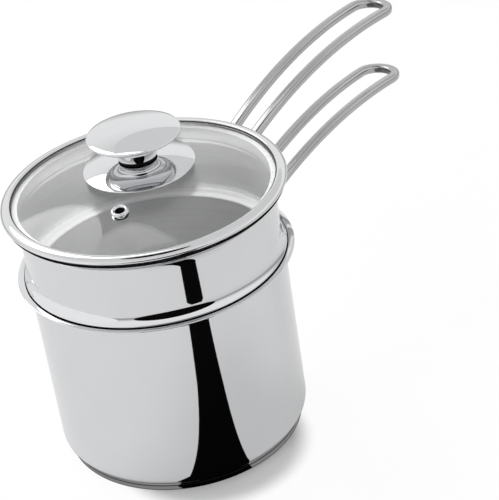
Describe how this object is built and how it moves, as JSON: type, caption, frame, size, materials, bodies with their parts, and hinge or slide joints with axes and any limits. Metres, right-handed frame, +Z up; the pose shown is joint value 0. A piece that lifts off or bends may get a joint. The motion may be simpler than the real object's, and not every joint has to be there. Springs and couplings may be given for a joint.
{
  "type": "double boiler",
  "caption": "Stovetop double boiler: an upper pan that hangs on a bead in a deeper water pan, with a knobbed glass lid and looped rod handles.",
  "frame": {"origin": "middle of the lower pan's flat underside, on the surface that it stands on", "axes": "+Z up, along the pans' common axis; +X from the middle towards the tips of both handles"},
  "size_m": [0.3242, 0.165, 0.2011],
  "materials": {
    "polished_steel": "mirror-polished stainless steel",
    "satin_steel": "satin stainless steel",
    "aluminium": "plain aluminium",
    "glass": "clear toughened glass",
    "silicone": "matt dark silicone"
  },
  "bodies": {
    "water_pan": {"lower_pan": "polished_steel", "base_core": "aluminium", "base_cap": "satin_steel", "lower_handle_plate": "satin_steel", "lower_handle": "satin_steel"},
    "hanging_pan": {"upper_pan": "polished_steel", "upper_handle_plate": "satin_steel", "upper_handle": "satin_steel"},
    "lid": {"lid_glass": "glass", "lid_rim": "polished_steel", "lid_rim_seal": "silicone", "vent_sleeve": "polished_steel", "vent_gasket": "silicone", "knob_cap": "polished_steel", "knob_neck": "polished_steel", "knob_plate": "polished_steel", "knob_bush": "aluminium", "knob_top_washer": "silicone", "knob_under_washer": "silicone", "knob_steel_washer": "satin_steel", "knob_screw": "satin_steel"}
  },
  "joints": [
    {"name": "upper_pan_lift", "type": "slide", "parent": "water_pan", "child": "hanging_pan", "axis": [0, 0, 1], "range_m": [0, 0.1]},
    {"name": "lid_lift", "type": "slide", "parent": "hanging_pan", "child": "lid", "axis": [0, 0, 1], "range_m": [0, 0.05]}
  ]
}
